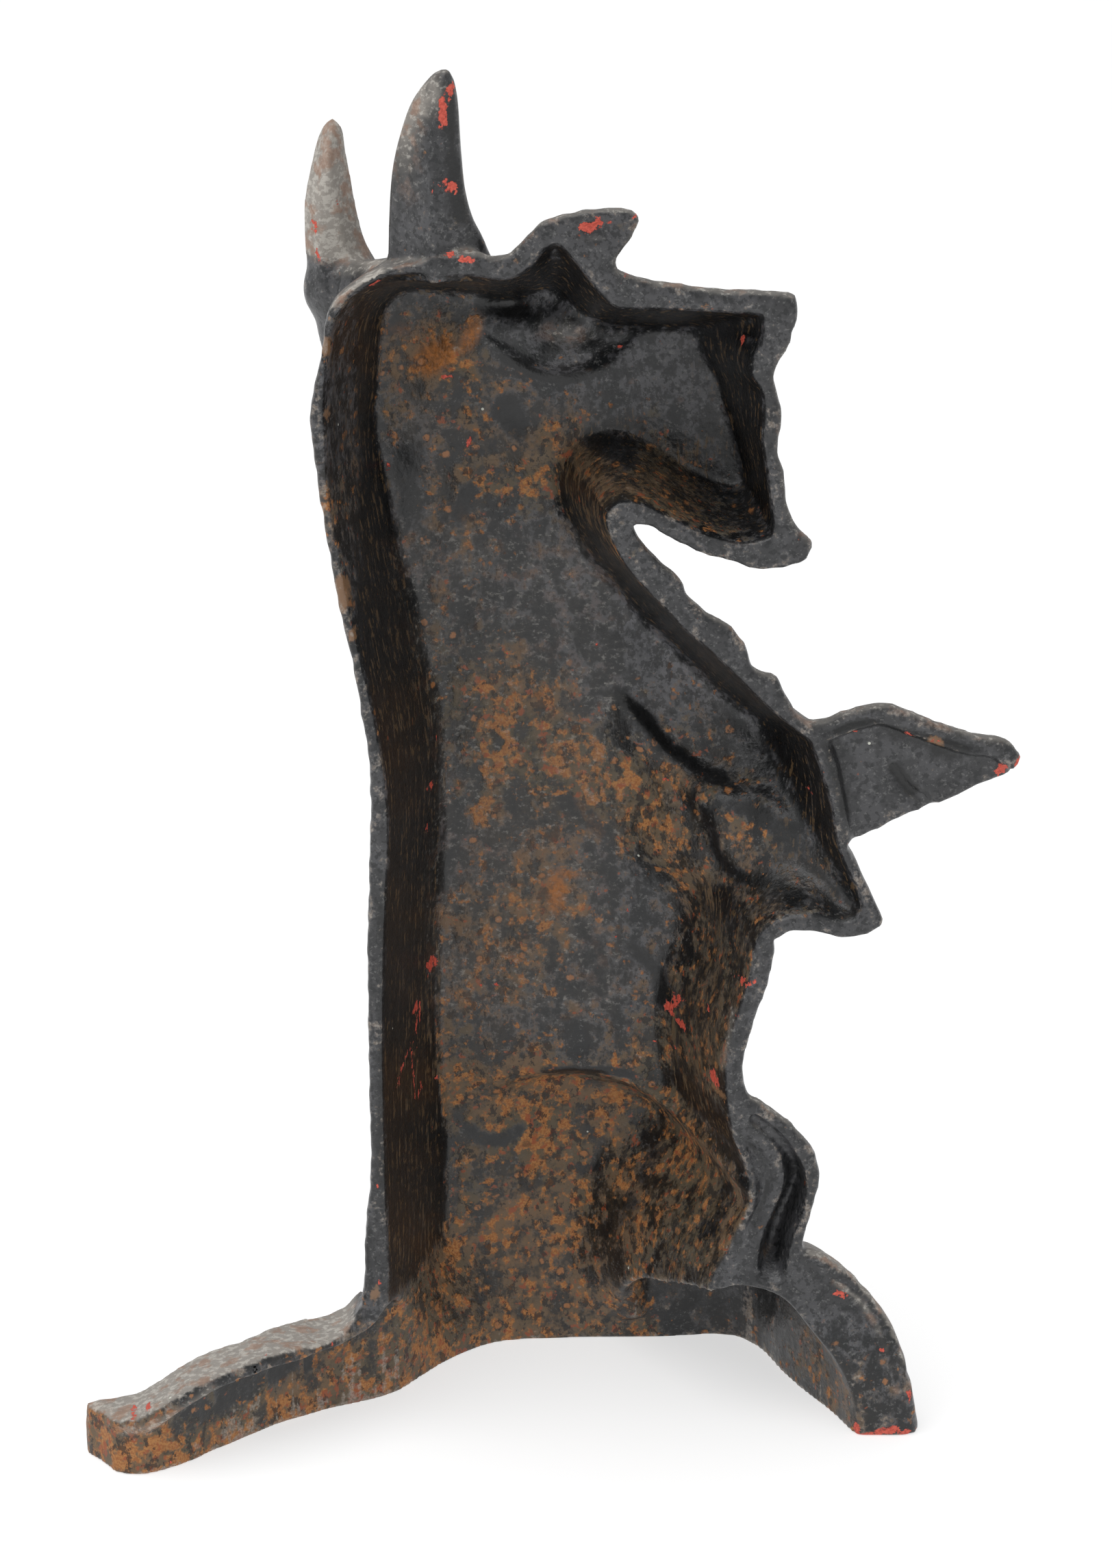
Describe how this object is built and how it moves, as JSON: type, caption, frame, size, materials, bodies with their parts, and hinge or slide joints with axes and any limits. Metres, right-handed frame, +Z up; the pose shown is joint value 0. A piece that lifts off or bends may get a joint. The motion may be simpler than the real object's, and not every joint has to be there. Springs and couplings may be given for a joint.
{
  "type": "door stop",
  "caption": "Free-standing cast-iron door stop in the shape of a begging terrier, relief on one side and an open hollow back with a flat rim.",
  "frame": {"origin": "on the floor, under the middle of the footprint of the whole casting, tail tip to paw tip", "axes": "+Z up, +X from the tail towards the paws, +Y from the open hollow back towards the moulded show side"},
  "size_m": [0.2344, 0.0828, 0.355],
  "materials": {
    "worn_enamel": "worn glossy black enamel over red oxide on cast iron, rust mottled in the hollow"
  },
  "bodies": {
    "root": {"skull_shell": "worn_enamel", "muzzle_shell": "worn_enamel", "neck_shell": "worn_enamel", "torso_shell": "worn_enamel", "foreleg_shell": "worn_enamel", "belly_shell": "worn_enamel", "haunch_shell": "worn_enamel", "near_ear": "worn_enamel", "far_ear": "worn_enamel", "brow_tuft": "worn_enamel", "beard": "worn_enamel", "upper_paw": "worn_enamel", "lower_paw": "worn_enamel", "knee_shank": "worn_enamel", "hind_foot": "worn_enamel", "base_wall": "worn_enamel", "tail_shell": "worn_enamel", "tail_tip": "worn_enamel"}
  },
  "joints": []
}
